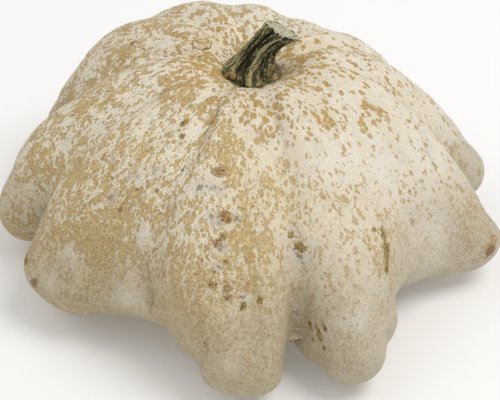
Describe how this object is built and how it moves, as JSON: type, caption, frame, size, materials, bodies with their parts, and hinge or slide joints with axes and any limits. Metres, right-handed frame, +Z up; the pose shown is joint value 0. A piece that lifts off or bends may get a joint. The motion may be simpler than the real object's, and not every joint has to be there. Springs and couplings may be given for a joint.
{
  "type": "pattypan squash",
  "caption": "Ripe finger-lobed pattypan squash with a mottled cream rind and a dry ribbed stem, lying on its blossom end.",
  "frame": {"origin": "on the resting surface, under the middle of the whole outline", "axes": "+Z up along the fruit's short axis to the stem; -Y towards the two large fused front lobes; +X to the side the stem leans to"},
  "size_m": [0.1528, 0.1474, 0.0808],
  "materials": {
    "rind": "waxy ripe rind, cream white with ochre mottling, pinhead freckles and small corky scabs, soft sheen",
    "dry_stem": "dried fibrous stalk, green-black ribs with ochre foot and a pale cut end, dull"
  },
  "bodies": {
    "root": {"squash_fruit": "rind", "stem": "dry_stem"}
  },
  "joints": []
}
